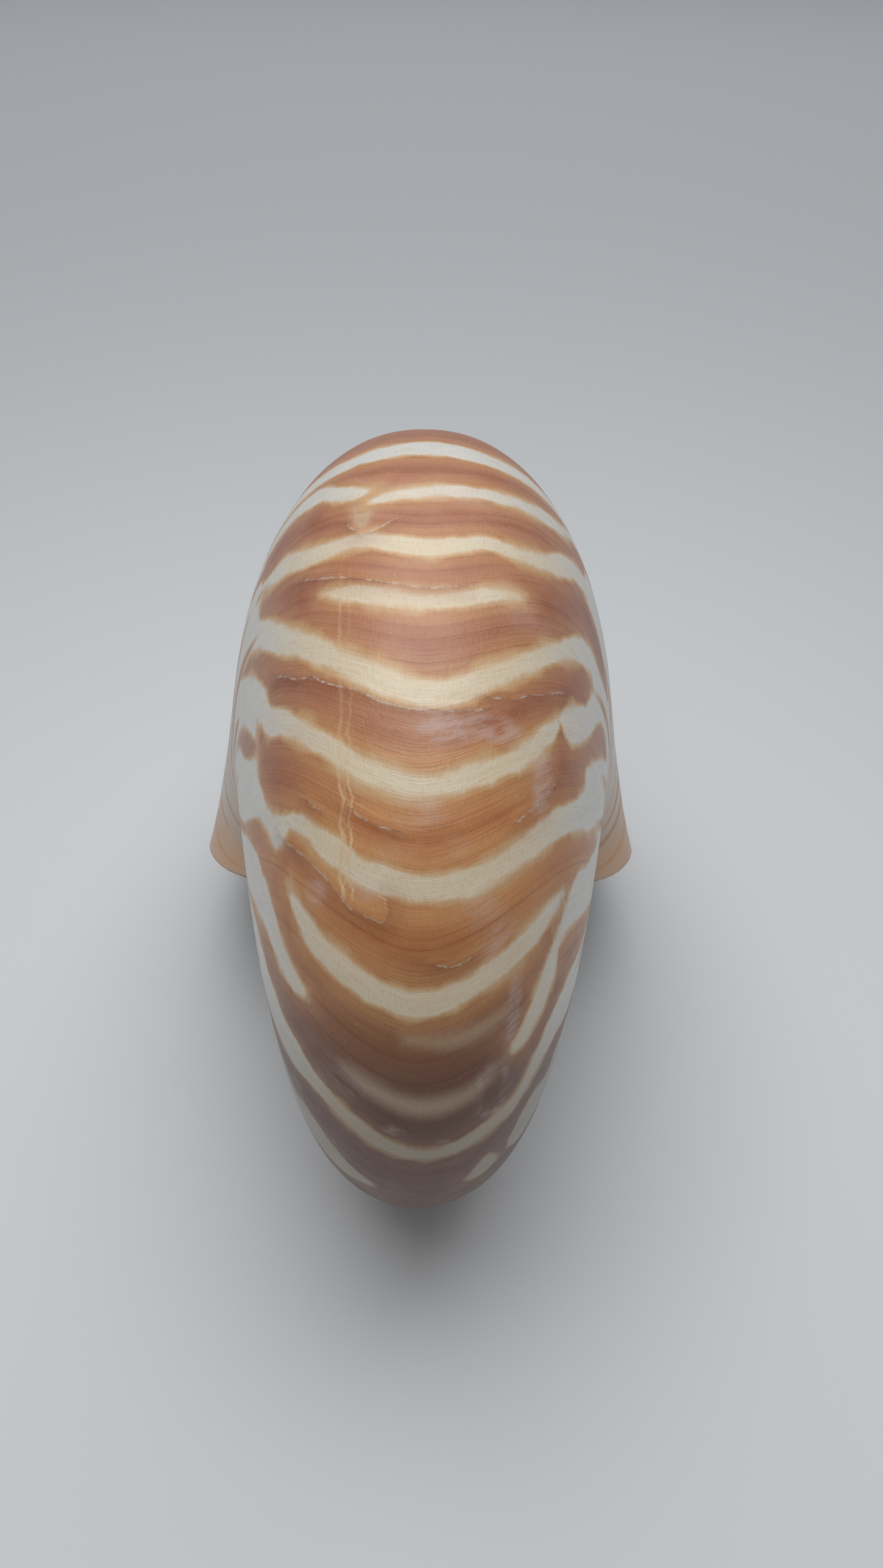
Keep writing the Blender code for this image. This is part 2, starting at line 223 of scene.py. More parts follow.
# Old damage on the back, each line as (girth, turn) points
HEALED_BREAK = ((-0.26, 153.2), (-0.244, 154.4), (-0.196, 156.6), (-0.152, 159.2), (-0.12, 161.8),
                (-0.106, 162.9), (-0.072, 163.9), (-0.056, 164.4), (-0.046, 163.1), (-0.052, 162.1))
CHIPPED_LINES = (
    ((-0.22, 118.9), (-0.162, 122.2), (-0.092, 125.2), (-0.06, 126.4), (-0.016, 127.4), (0.012, 127.6),
     (0.05, 127.0)),
    ((-0.118, 115.4), (-0.094, 118.5), (-0.07, 118.2), (-0.048, 117.4)),
    ((0.106, 139.5), (0.144, 138.9), (0.162, 137.8), (0.202, 136.4), (0.26, 133.4)),
    ((-0.26, 131.6), (-0.24, 132.5), (-0.206, 134.8), (-0.176, 135.2), (-0.146, 137.2), (-0.092, 139.1),
     (-0.06, 140.8), (-0.016, 141.8), (0.036, 141.9), (0.09, 141.2)),
    ((0.026, 169.0), (0.048, 169.3), (0.068, 168.8), (0.08, 168.2)),
    ((0.152, 152.6), (0.19, 150.3), (0.232, 146.9)),
    ((-0.098, 152.4), (-0.07, 153.8), (-0.04, 154.4)),
    ((-0.185, 150.3), (-0.165, 151.4)),
    ((0.296, 160.9), (0.282, 164.4), (0.252, 168.4), (0.232, 171.1)),
)
STEP_DEPTH = 0.00016
STEP_RISE = 1.6
STEP_REACH = 7.0
CHIPPED_SHARE = 0.4
LINE_REACH = 3.0
SHADED_REACH = 2.2
GROWTH_STEP_DEPTH = 0.00005
GROWTH_STEPS_END = 350.0
GROWTH_STEPS_APART = 5.0

# The left one of two long scratches as (turn, units of the drawing across), and the right one's distance
SCRATCH = ((118, -9.3), (132, -9.2), (139, -9.0), (141, -8.8), (144, -9.1), (147, -9.3), (149.5, -9.0),
           (151, -8.5), (153, -9.1), (155, -8.8), (157, -8.9), (159, -9.2), (160.5, -8.9), (163, -8.7))
SCRATCH_GAP = 1.1
SCRATCH_START = 121.0
SCRATCH_END = 162.6
SCRATCH_DEEPER_TURNS = (140, 152)
SCRATCH_DEEPEST_TURNS = (153, 156)
# Each strand's place right of the left scratch, half width, swing and strength
SCRATCH_STRANDS = ((0.0, 0.34, 0.5, 0.30), (SCRATCH_GAP, 0.26, 0.9, 0.24), (0.45, 0.22, -1.6, 0.0))

# Dull scuffs, and near the keel about turn 143 the painted sheen of a soft lamp reflection, as (girth, turn,
# half width across, half width along the growth) and how marked they are
SCUFFS_AND_SHEEN = ((0.2, 147.2, 1.5, 4.4, 0.9), (0.108, 143.0, 3.6, 1.6, 0.8), (0.032, 143.8, 3.0, 1.8, 0.9),
          (0.0, 152.5, 2.6, 1.8, 0.5), (0.134, 166.6, 2.6, 2.6, 0.7), (0.166, 176.6, 1.2, 6.0, 0.9),
          (0.10, 163.0, 2.6, 2.0, 0.4), (-0.172, 161.0, 1.5, 1.6, 0.8), (-0.042, 193.1, 1.0, 0.8, 1.0),
          (0.05, 195.5, 1.2, 0.5, 0.9), (-0.08, 160.5, 1.5, 1.5, 0.6), (-0.28, 137.0, 2.0, 2.0, 0.5),
          (-0.12, 186.0, 4.0, 3.0, 0.3), (0.03, 112.0, 6.0, 2.0, 0.3), (0.14, 127.0, 5.0, 3.0, 0.3))
SCUFF_EDGE = 1.5
RING_SCUFF = (0.135, 187.6, 2.4, 4.2)
RING_SCUFF_MARKED = 0.7
RING_SCUFF_WIDTH = 0.35

# Where the outside's colours change, in turn or girth, each from none to all
HONEY_TURNS = (136, 156)
# Painted shade: the stripes darken to umber lower on the back, where the light falls off
SHADED_UMBER_TURNS = (160, 192)
GOLDEN_TURNS = (205, 165)
# Painted shade: the whites and stripe edges turn greyer lower on the back
LOW_SHADE_TURNS = (172, 202)
COOL_TURNS = (125, 98)
COOL_GIRTHS = (0.12, 0.38)
UMBILICUS_GIRTHS = (0.62, 0.80)
EAR_TAN_TURNS = (46, 15)
EAR_TAN_GIRTHS = (0.38, 0.62)

# Colours laid over the settings' ones: a tint multiplies what is under it
PATCH_TINT = (0.86, 0.74, 0.72)
GOLDEN_EDGE = (0.62, 0.33, 0.13)
CORE_TINT = (0.82, 0.71, 0.64)
FLANK_TINT = (0.80, 0.70, 0.72)
STREAK_TINT = (0.84, 0.76, 0.74)
GROWTH_LINE_TINT = (0.62, 0.50, 0.52)
MILKY_TINT = (0.94, 0.88, 0.78)
# Painted shade: the grey tint laid on the whites and stripe edges lower on the back
LOW_SHADE_TINT = (0.52, 0.52, 0.53)
FAINT_BAND = (0.68, 0.53, 0.35)
NETTING_TINT = (0.84, 0.75, 0.70)
SCRATCH_PALE = (0.80, 0.56, 0.34)
CRACK_SHADE = (0.70, 0.58, 0.54)
BELOW_CRACK_TINT = (0.78, 0.68, 0.70)
CRACK_PALE = (0.82, 0.70, 0.60)
# The pale haze of the scuffs, partly painted sheen
SCUFF_AND_SHEEN_HAZE = (0.72, 0.62, 0.60)
SPECK_WHITE = (0.85, 0.80, 0.74)
NACRE_PINK = (0.80, 0.70, 0.68)
NACRE_GREEN = (0.66, 0.74, 0.68)

# How high each finish's bumps are, in metres
NETTING_HEIGHT = 0.00005
NACRE_HEIGHT = 0.00006
CALLUS_HEIGHT = 0.00008
LIP_HEIGHT = 0.0001

# The value rim, which carries the dark film: below -1 on the whorl inside the mouth, 0 or more elsewhere
SEPTUM_RIM = 20.0
FILM_START_RIMS = (-0.8, -1.0)
FILM_END_RIMS = (-1.30, -1.12)

# The lights and the sky
LIGHTS_AIM = (0.0, 0.0, 0.05)
KEY_PLACE = (-0.02, -0.045, 0.40)
KEY_SIZE = 0.3
KEY_COLOUR = (1.0, 0.99, 0.97)
ROOM_PLACE = (0.0, 0.8, 1.6)
ROOM_SIZE = 2.2
ROOM_COLOUR = (0.97, 0.98, 1.0)
SKY_COLOUR = (0.93, 0.96, 1.0, 1.0)

# The camera, seen from the coil's axis: its distance is in keel radii
CAMERA_DISTANCE = 1.85
CAMERA_TURN = 161.5
CAMERA_PITCH = 6.0
CAMERA_ROLL = 0.7
CAMERA_SHIFT = 0.0128
SENSOR_LONG_SIDE = 36.0
FLOOR_SIZE = 12.0


def length(name, description, default, smallest):
    """A setting in metres."""
    return bpy.props.FloatProperty(
        name=name, description=description, default=default, min=smallest, unit="LENGTH", precision=5)


def paint(name, description, default):
    """A setting that is a colour."""
    return bpy.props.FloatVectorProperty(
        name=name, description=description, default=default, size=3, min=0.0, max=1.0, subtype="COLOR")


def strength(name, description, default):
    """A setting for how strong a light is."""
    return bpy.props.FloatProperty(name=name, description=description, default=default, min=0.0)


class NautilusShellSettings(bpy.types.PropertyGroup):
    """Sizes and colours of the shell."""

    mouth_radius: length("Mouth Radius", "From the coil's axis to the keel at the mouth", 0.105, 0.01)
    wall: length("Wall", "Thickness of the living chamber's wall", 0.0016, 0.0004)
    lip_edge: length("Lip Edge", "Thickness of the wall at the lip", 0.0009, 0.0002)
    septum_depth: length("Septum Depth", "How far the septum is dished", 0.010, 0.0)
    siphuncle_radius: length("Siphuncle Radius", "Radius of the hole in the septum", 0.0019, 0.0005)
    siphuncle_depth: length("Siphuncle Depth", "How far the hole's neck runs back", 0.006, 0.001)
    callus_height: length("Callus Height", "From the keel's plane to the top of each callus", 0.0165, 0.001)
    resting_tilt: bpy.props.FloatProperty(
        name="Resting Tilt", description="How far the coil leans on to its lip",
        default=math.radians(30.179), subtype="ANGLE")
    cream: paint("Cream", "The white bands", (0.800, 0.680, 0.500))
    flank_white: paint("Flank White", "The cooler white of the flanks", (0.760, 0.750, 0.710))
    edge_tan: paint("Edge Tan", "The feathered edge of a stripe", (0.680, 0.430, 0.225))
    red_brown: paint("Red Brown", "The stripes over the living chamber", (0.540, 0.250, 0.142))
    honey: paint("Honey", "The warmer stripes in the middle of the back", (0.690, 0.330, 0.135))
    # Painted shade: the umber is the stripes' brown darkened for the shade low on the back; the lip's chips
    # use it too
    umber: paint("Umber", "The darker stripes low on the back", (0.180, 0.082, 0.050))
    ear_tan: paint("Ear Tan", "The ears and the rim of each umbilicus", (0.640, 0.400, 0.250))
    pearl: paint("Pearl", "The nacre inside", (0.800, 0.780, 0.745))
    film: paint("Film", "The dark film on the first whorl, inside the mouth", (0.060, 0.045, 0.038))


class NautilusStageSettings(bpy.types.PropertyGroup):
    """The studio."""

    floor_colour: paint("Floor Colour", "The plain pale floor", (0.78, 0.80, 0.82))
    sky_strength: strength("Sky Strength", "Even light from all round", 0.18)
    key_power: strength("Key Power", "The soft light just above the shell, in watts", 0.65)
    room_power: strength("Room Power", "The wide soft light far overhead, in watts", 12.5)
    focal_length: bpy.props.FloatProperty(
        name="Focal Length", description="The camera's lens", default=24.87, min=1.0, unit="CAMERA")


def settings():
    """The shell's sizes and colours."""
    return bpy.context.scene.nautilus_shell


def smooth(share):
    """From 0 to 1, level at both ends."""
    share = np.clip(share, 0.0, 1.0)
    return share * share * (3 - 2 * share)


def between(start, end, share):
    return start + (end - start) * share


def keel_radius(turn):
    return settings().mouth_radius * WHORL_EXPANSION ** (-np.asarray(turn) / 360)


def ear_share(turn):
    return smooth(1 - turn / EAR_TURNS)


def section(turn, side):
    """A whorl's outside as (distance from the axis, half width), in shares of the keel radius."""
    side = np.abs(side)
    flank = math.pi / 2 * np.clip(side / SHOULDER_SIDE, 0, 1)
    corner = math.pi / 2 * np.clip((side - SHOULDER_SIDE) / (1 - SHOULDER_SIDE), 0, 1)
    power = 2 / (SHOULDER_ROUNDNESS + EAR_ROUNDNESS * ear_share(turn))
    filled = smooth((turn - CALLUS_THIN_TURN) / (CALLUS_FULL_TURN - CALLUS_THIN_TURN))
    seam = between(OPEN_SEAM, FILLED_SEAM, filled)
    rise = np.maximum(np.cos(flank), 0) ** (2 / KEEL_ROUNDNESS)
    outer_radius = between(SHOULDER_RADIUS, 1, rise)
    outer_width = np.sin(flank) ** (2 / FLANK_ROUNDNESS)
    inner_radius = between(SHOULDER_RADIUS, SEAM_RADIUS, np.sin(corner) ** power)
    inner_width = between(seam, 1, np.maximum(np.cos(corner), 0) ** power)
    within = side > SHOULDER_SIDE
    width = np.where(within, inner_width, outer_width)
    return np.where(within, inner_radius, outer_radius), HALF_WIDTH * width


def place(turn, radius, across):
    """Points from their turn, distance from the axis and distance from the keel's plane."""
    angle = np.radians(turn)
    return np.stack(np.broadcast_arrays(across, radius * np.cos(angle), radius * np.sin(angle)), -1)


def outside(turn, side):
    radius, width = section(turn, side)
    scale = keel_radius(turn)
    return place(turn, radius * scale, np.copysign(width * scale, side))


def lip_turn(side):
    """Turn of the lip: a deep bay over the keel, a forward lobe on each side and a shallow bay at the eye."""
    side = np.abs(side)
    bay = SINUS_ANGLE * np.sin(math.pi / 2 * np.clip(side / SINUS_SIDE, 0, 1)) ** SINUS_SHARPNESS
    eye = EYE_SINUS_ANGLE * np.sin(math.pi * np.clip((side - SINUS_SIDE) / (1 - SINUS_SIDE), 0, 1)) ** 2
    return LIP_KEEL_TURN - bay + eye


def half_columns():
    """The sides of the columns from the keel to the seam."""
    flank = np.linspace(0, SHOULDER_SIDE, FLANK_COLUMNS + 1)
    return np.append(flank, np.linspace(SHOULDER_SIDE, 1, UMBILICAL_COLUMNS + 1)[1:])


def half_girths():
    """The girths of the same columns, measured along a plain section of a whorl."""
    radius, width = section(PLAIN_TURN, HALF)
    steps = np.hypot(np.diff(radius), np.diff(width))
    return np.append(0, np.cumsum(steps)) / SECTION_GIRTH


def both_sides(half):
    return np.append(-half[:0:-1], half)


HALF = half_columns()
COLUMNS = both_sides(HALF)
GIRTHS = both_sides(half_girths())
KEEL = len(HALF) - 1
FLOOR = slice(KEEL - FLANK_COLUMNS, KEEL + FLANK_COLUMNS + 1)
LIP_TURNS = lip_turn(COLUMNS)
SEAM_TURN = LIP_TURNS[-1]


def curve_through(x, y, place_in):
    """A smooth curve through points, read at the given x and level past its ends."""
    slope = np.gradient(y, x)
    i = np.clip(np.searchsorted(x, place_in) - 1, 0, len(x) - 2)
    width = x[i + 1] - x[i]
    t = np.clip((place_in - x[i]) / width, 0, 1)
    back = 1 - t
    return (y[i] * back * back * (1 + 2 * t) + y[i + 1] * t * t * (3 - 2 * t)
            + width * t * back * (slope[i] * back - slope[i + 1] * t))


def band(points, turn, girth):
    """How deep each place lies inside a band, in degrees of turn, and below 0 outside it."""
    across, start, end = np.array(points, float).T
    low, high = curve_through(across, start, girth), curve_through(across, end, girth)
    step = 0.01
    middle = (start + end) / 2
    rise = curve_through(across, middle, girth + step) - curve_through(across, middle, girth - step)
    rise = rise / (2 * step * GIRTH_SPAN)
    depth = np.minimum(turn - low, high - turn) / np.sqrt(1 + rise * rise)
    ends = np.minimum(girth - across[0], across[-1] - girth) * GIRTH_SPAN
    return np.minimum(depth, ends)


def lean(girth):
    """How far a stripe has swept towards the mouth at a girth."""
    return BAND_LEAN * np.abs(girth) ** BAND_LEAN_POWER


def leaning_band(turn, girth, centre, half_width, reach):
    """A brown band that crosses the keel and thins out on both flanks."""
    swept = turn + lean(girth) - centre
    slope = BAND_LEAN * BAND_LEAN_POWER * np.abs(girth) ** (BAND_LEAN_POWER - 1) / GIRTH_SPAN
    room = half_width * (1 - (np.abs(girth) / reach) ** 2)
    return (room - np.abs(swept)) / np.sqrt(1 + slope * slope)


def joined(first, second):
    """The deeper of two depths, with a rounded corner where they meet."""
    gap = np.abs(first - second)
    bulge = np.maximum(CORNER_SOFTNESS - gap, 0) ** 2 / (4 * CORNER_SOFTNESS)
    return np.maximum(first, second) + bulge


def drawn_stripes(turn, girth):
    """Depth inside the brown where the stripes follow the drawing."""
    white = (np.abs(girth) - FLANK_EDGE) * GIRTH_SPAN
    for points in WHITE_BANDS:
        white = joined(white, band(points, turn, girth))
    brown = -white
    for points in TONGUES:
        brown = joined(brown, band(points, turn, girth))
    return brown


def spread_stripes(turn, girth):
    """Depth inside the brown of the stripes that carry on before and after the drawing."""
    chance = np.random.default_rng(SEED)
    brown = np.full(turn.shape, FAR_OUTSIDE)
    for centre, half_width in zip(NEAR_BAND_TURNS, NEAR_BAND_HALF_WIDTHS):
        brown = joined(brown, leaning_band(turn, girth, centre, half_width, NEAR_BAND_REACH))
    for centre in np.arange(FAR_BAND_START, FAR_BAND_END, FAR_BAND_STEP):
        half_width = FAR_BAND_HALF_WIDTH * chance.uniform(0.8, 1.1)
        brown = joined(brown, leaning_band(turn, girth, centre, half_width, chance.uniform(0.42, 0.6)))
    return brown


def umbilical_flames(turn, girth):
    """Depth inside the brown flames that spread from each umbilicus up the flank."""
    chance = np.random.default_rng(SEED + 1)
    brown = np.full(turn.shape, FAR_OUTSIDE)
    for side in (-1, 1):
        for centre in np.arange(FLAMES_START, FAR_BAND_END + 30, FLAME_STEP):
            middle = FLAME_GIRTH + chance.uniform(-0.05, 0.05)
            reach = FLAME_REACH * chance.uniform(0.6, 1.2)
            half_width = FLAME_HALF_WIDTH * chance.uniform(0.5, 1.2)
            swept = turn + FLAME_LEAN * lean(girth) - centre - chance.uniform(-2, 2)
            away = (side * girth - middle) / reach
            room = half_width * (1 - away * away)
            brown = joined(brown, room - np.abs(swept) * FLAME_SLOPE)
    return brown


def stripe_depth(turn, girth):
    """How deep each place lies inside the brown, in degrees of turn."""
    started = smooth((turn + lean(girth) - DRAWING_START) / DRAWING_START_BLEND)
    in_drawing = np.minimum(started, smooth((DRAWING_END - turn) / DRAWING_END_BLEND))
    brown = between(spread_stripes(turn, girth), drawn_stripes(turn, girth), in_drawing)
    return joined(brown, umbilical_flames(turn, girth))


def faint_depth(turn, girth):
    """How deep each place lies inside a band that shows only faintly."""
    faint = np.full(turn.shape, FAR_OUTSIDE)
    for points in FAINT_BANDS:
        faint = np.maximum(faint, band(points, turn, girth))
    return faint


def distance_to_line(points, turn, girth):
    """Distance to a line on the flat drawing, and on which side of it each place lies."""
    across = girth * GIRTH_SPAN
    nearest = np.full(turn.shape, 99.0)
    beyond = np.zeros(turn.shape)
    for (girth_a, turn_a), (girth_b, turn_b) in zip(points, points[1:]):
        start = girth_a * GIRTH_SPAN
        dx, dy = girth_b * GIRTH_SPAN - start, turn_b - turn_a
        t = np.clip(((across - start) * dx + (turn - turn_a) * dy) / (dx * dx + dy * dy), 0, 1)
        off_x, off_y = across - start - t * dx, turn - turn_a - t * dy
        distance = np.hypot(off_x, off_y)
        closer = distance < nearest
        nearest = np.where(closer, distance, nearest)
        beyond = np.where(closer, np.sign(dx * off_y - dy * off_x), beyond)
    return nearest, beyond


def cracks(turn, girth):
    """The skin's values for old damage: the signed distance to the nearest line, above 0 below it, the same
    without its sign, and how much each place is darkened just below a line."""
    signed = np.full(turn.shape, LINE_REACH)
    nearest = np.full(turn.shape, LINE_REACH)
    below = np.zeros(turn.shape)
    for points in (HEALED_BREAK, *CHIPPED_LINES):
        distance, beyond = distance_to_line(points, turn, girth)
        closer = distance < nearest
        signed = np.where(closer, distance * np.where(beyond < 0, -1, 1), signed)
        nearest = np.where(closer, distance, nearest)
        below = np.maximum(below, smooth((LINE_REACH - distance) / SHADED_REACH) * (beyond > 0))
    return {"crack": signed, "crack_near": nearest, "below": below}


def scratch_offset(turn, girth):
    """How far right of the left scratch each place lies, in units of the drawing."""
    turns, across = np.array(SCRATCH).T
    return girth * GIRTH_SPAN - np.interp(turn, turns, across)


def scuff_and_sheen_depth(turn, girth):
    """How scuffed each place is, with the patches of painted sheen, from 0 to 1."""
    def away(scuff_girth, scuff_turn, across, along_growth):
        return np.hypot((girth - scuff_girth) * GIRTH_SPAN / across, (turn - scuff_turn) / along_growth)

    depth = RING_SCUFF_MARKED * smooth(1 - np.abs(away(*RING_SCUFF) - 1) / RING_SCUFF_WIDTH)
    for *place_and_size, marked in SCUFFS_AND_SHEEN:
        depth = np.maximum(depth, marked * smooth(SCUFF_EDGE - away(*place_and_size)))
    return depth


def relief(turn, girth, growth):
    """How far the outside is worn in by growth steps and by the steps along old breaks, in metres."""
    chance = np.random.default_rng(SEED + 2)
    depth = np.zeros(turn.shape)
    for centre in np.arange(4.0, GROWTH_STEPS_END, GROWTH_STEPS_APART):
        centre += chance.uniform(-2, 2)
        width = chance.uniform(1.2, 3.0)
        step = np.clip(1 - np.abs(growth - centre) / width, 0, 1)
        depth += GROWTH_STEP_DEPTH * chance.uniform(0.3, 1.0) * step
    for points, share in ((HEALED_BREAK, 1.0), *((points, CHIPPED_SHARE) for points in CHIPPED_LINES)):
        distance, beyond = distance_to_line(points, turn, girth)
        step = smooth(distance / STEP_RISE) * np.clip(1 - distance / STEP_REACH, 0, 1) * (beyond > 0)
        depth += STEP_DEPTH * share * step
    return depth


class Skin:
    """Gathers points, what the finishes need to know at each, and faces."""

    VALUES = ("turn", "girth", "stripe", "faint", "growth", "rim", "crack", "crack_near", "below",
              "scratch", "scuff")

    def __init__(self):
        self.points = []
        self.values = {name: [] for name in self.VALUES}
        self.faces = []
        self.finishes = []
        self.count = 0

    def add(self, points, **values):
        """Adds points and returns their numbers, in the points' own layout."""
        shape = points.shape[:-1]
        size = int(np.prod(shape))
        self.points.append(points.reshape(-1, 3))
        for name in self.VALUES:
            self.values[name].append(np.broadcast_to(values.get(name, 0.0), shape).reshape(-1))
        numbers = np.arange(self.count, self.count + size).reshape(shape)
        self.count += size
        return numbers

    def quads(self, grid, finish, closed=False):
        """Faces over a grid of numbers, row by row."""
        if closed:
            grid = np.concatenate([grid, grid[:, :1]], axis=1)
        corners = (grid[:-1, :-1], grid[:-1, 1:], grid[1:, 1:], grid[1:, :-1])
        quads = np.stack([corner.ravel() for corner in corners], 1)
        self.faces.extend(quads.tolist())
        self.finishes.extend([finish] * len(quads))

    def triangles(self, triangles, finish):
        self.faces.extend([int(number) for number in face] for face in triangles)
        self.finishes.extend([finish] * len(triangles))

    def fan(self, ring, middle, finish, **values):
        """Closes a ring with triangles to a point in its middle."""
        centre = self.add(middle[None, :], **values)[0]
        self.triangles([(a, b, centre) for a, b in zip(ring, np.roll(ring, -1))], finish)

    def between_rows(self, first, second, finish):
        """Triangles between two rows whose numbers of points differ."""
        i, j = 0, 0
        found = []
        while i + j < len(first) + len(second) - 2:
            if i * (len(second) - 1) <= j * (len(first) - 1) and i < len(first) - 1:
                found.append((first[i], first[i + 1], second[j]))
                i += 1
            else:
                found.append((first[i], second[j + 1], second[j]))
                j += 1
        self.triangles(found, finish)

    def mesh(self, name):
        """The mesh with its values as attributes."""
        data = bpy.data.meshes.new(name)
        data.from_pydata(np.concatenate(self.points).tolist(), [], self.faces)
        for value in self.VALUES:
            attribute = data.attributes.new(value, "FLOAT", "POINT")
            attribute.data.foreach_set("value", np.concatenate(self.values[value]).astype(np.float32))
        data.polygons.foreach_set("material_index", self.finishes)
        data.update()
        return data


OUTSIDE, NACRE, CALLUS, LIP = range(4)


def outside_levels():
    """Where the outside's rows lie, in degrees, closest together under the drawn stripes."""
    last = 360 + SEAM_TURN
    return np.concatenate([
        np.linspace(0, FINE_ROWS_START, ROWS_BEFORE_STRIPES, endpoint=False),
        np.linspace(FINE_ROWS_START, FINE_ROWS_END, ROWS_OF_STRIPES, endpoint=False),
        np.linspace(FINE_ROWS_END, last, ROWS_AFTER_STRIPES)])


def grid_normals(points):
    """The unit normal at each point of a grid."""
    along = np.gradient(points, axis=0)
    across = np.gradient(points, axis=1)
    normal = np.cross(across, along)
    size = np.linalg.norm(normal, axis=-1, keepdims=True)
    return normal / np.maximum(size, 1e-12)


def add_outside(skin):
    """The striped outside, from the lip back for one whole whorl. Returns its grid."""
    levels = outside_levels()
    fade = (1 - levels / levels[-1]) ** LIP_FADE
    turn = levels[:, None] + fade[:, None] * LIP_TURNS[None, :]
    side = np.broadcast_to(COLUMNS, turn.shape)
    girth = np.broadcast_to(GIRTHS, turn.shape)
    growth = turn - LIP_TURNS[None, :]
    points = outside(turn, side)
    normal = grid_normals(points)
    core = place(turn, SHOULDER_RADIUS * keel_radius(turn), 0.0)
    outward = np.sign(np.sum(normal * (points - core), -1))
    worn = relief(turn, girth, growth)
    worn[:, 0] = worn[:, -1] = 0
    worn[-1] = 0
    points = points - normal * (outward * worn)[..., None]
    grid = skin.add(points, turn=turn, girth=girth, growth=growth, stripe=stripe_depth(turn, girth),
                    faint=faint_depth(turn, girth), scratch=scratch_offset(turn, girth),
                    scuff=scuff_and_sheen_depth(turn, girth), **cracks(turn, girth))
    skin.quads(grid, OUTSIDE)
    return grid


def hollow_half(turn, thickness):
    """The living chamber's wall as (distance from the axis, half width) for each half column."""
    thin = thickness / keel_radius(turn)
    angle = math.pi / 2 * np.linspace(0, 1, FLANK_COLUMNS + 1)
    radius, width = section(turn, HALF[: FLANK_COLUMNS + 1])
    radius = radius - thin * np.cos(angle)
    width = width - thin * np.sin(angle)
    floor_radius, floor_width = section(360 + turn, np.array([HALF[FLANK_COLUMNS]]))
    floor_radius, floor_width = floor_radius / WHORL_EXPANSION, floor_width / WHORL_EXPANSION
    power = between(LOBE_POWER, MOUTH_LOBE_POWER, ear_share(turn))
    round_lobe = math.pi / 2 * np.arange(1, UMBILICAL_COLUMNS) / UMBILICAL_COLUMNS
    lobe_radius = between(radius[-1], floor_radius, np.sin(round_lobe) ** power)
    lobe_width = between(floor_width, width[-1], np.cos(round_lobe) ** power)
    return np.append(radius, lobe_radius), np.append(width, lobe_width)


def wall_row(turns, thickness):
    """Points of the living chamber's wall from left to right, at a turn for each column."""
    points = []
    for column, turn in list(enumerate(turns))[1:-1]:
        radius, width = hollow_half(turn, thickness)
        scale = keel_radius(turn)
        half = abs(column - KEEL)
        across = math.copysign(width[half] * scale, COLUMNS[column])
        points.append(place(turn, radius[half] * scale, across))
    return np.array(points)


def ring_of(wall, floor):
    """The closed ring round the chamber, from the floor's left edge over the wall and back."""
    return np.concatenate([floor[:1], wall, floor[:0:-1]])


def add_living_chamber(skin, lip_wall, mouth_floor):
    """The pearly chamber. Returns its last wall and floor points and their ring."""
    rings = [ring_of(lip_wall, mouth_floor)]
    for row in range(1, LIVING_ROWS + 1):
        share = row / LIVING_ROWS
        turns = between(LIP_TURNS, SEPTUM_TURN, share)
        thickness = between(settings().lip_edge, settings().wall, min(1, row / LIP_TAPER_ROWS))
        wall = wall_row(turns, thickness)
        floor_turn = between(SEAM_TURN, SEPTUM_TURN, share)
        floor = outside(360 + floor_turn, COLUMNS[FLOOR])
        walls = skin.add(wall, rim=(turns - LIP_TURNS)[1:-1])
        floors = skin.add(floor, rim=-1 - share)
        rings.append(ring_of(walls, floors))
    skin.quads(np.array(rings), NACRE, closed=True)
    return wall, floor, rings[-1]


def along(points, share):
    """Points at shares of the way along a row."""
    place_in_row = np.clip(share, 0, 1) * (len(points) - 1)
    start = np.minimum(place_in_row.astype(int), len(points) - 2)
    part = (place_in_row - start)[:, None]
    return points[start] * (1 - part) + points[start + 1] * part


def add_septum(skin, wall, floor, ring):
    """The dished septum and the short neck of its siphuncle, which is closed at its end."""
    roof = np.concatenate([floor[:1], wall, floor[-1:]])
    across = np.append(np.arange(len(roof) - 1) / (len(roof) - 1),
                       np.arange(len(floor) - 1, 0, -1) / (len(floor) - 1))
    up = np.append(np.ones(len(roof) - 1), np.zeros(len(floor) - 1))
    half = np.array([0.5])
    centre = between(along(floor, half), along(roof, half), SIPHUNCLE_LEVEL)
    back = place(SEPTUM_TURN + 90, 1.0, 0.0)
    rings = [ring]
    for i in range(1, SEPTUM_RINGS + 1):
        share = i / SEPTUM_RINGS
        inner = min(share, 1 - 0.5 / SEPTUM_RINGS)
        level = between(up, SIPHUNCLE_LEVEL, inner)[:, None]
        row = between(across, 0.5, inner)
        away = between(along(floor, row), along(roof, row), level) - centre
        if i == SEPTUM_RINGS:
            away = away / np.linalg.norm(away, axis=1, keepdims=True) * settings().siphuncle_radius
        rim = centre + away + back * settings().septum_depth * share**SEPTUM_CURVE
        rings.append(skin.add(rim, rim=SEPTUM_RIM))
    for i in range(1, SIPHUNCLE_RINGS + 1):
        points = rim + back * settings().siphuncle_depth * i / SIPHUNCLE_RINGS
        rings.append(skin.add(points, rim=SEPTUM_RIM))
    skin.quads(np.array(rings), NACRE, closed=True)
    skin.fan(rings[-1], points.mean(0), NACRE, rim=SEPTUM_RIM)


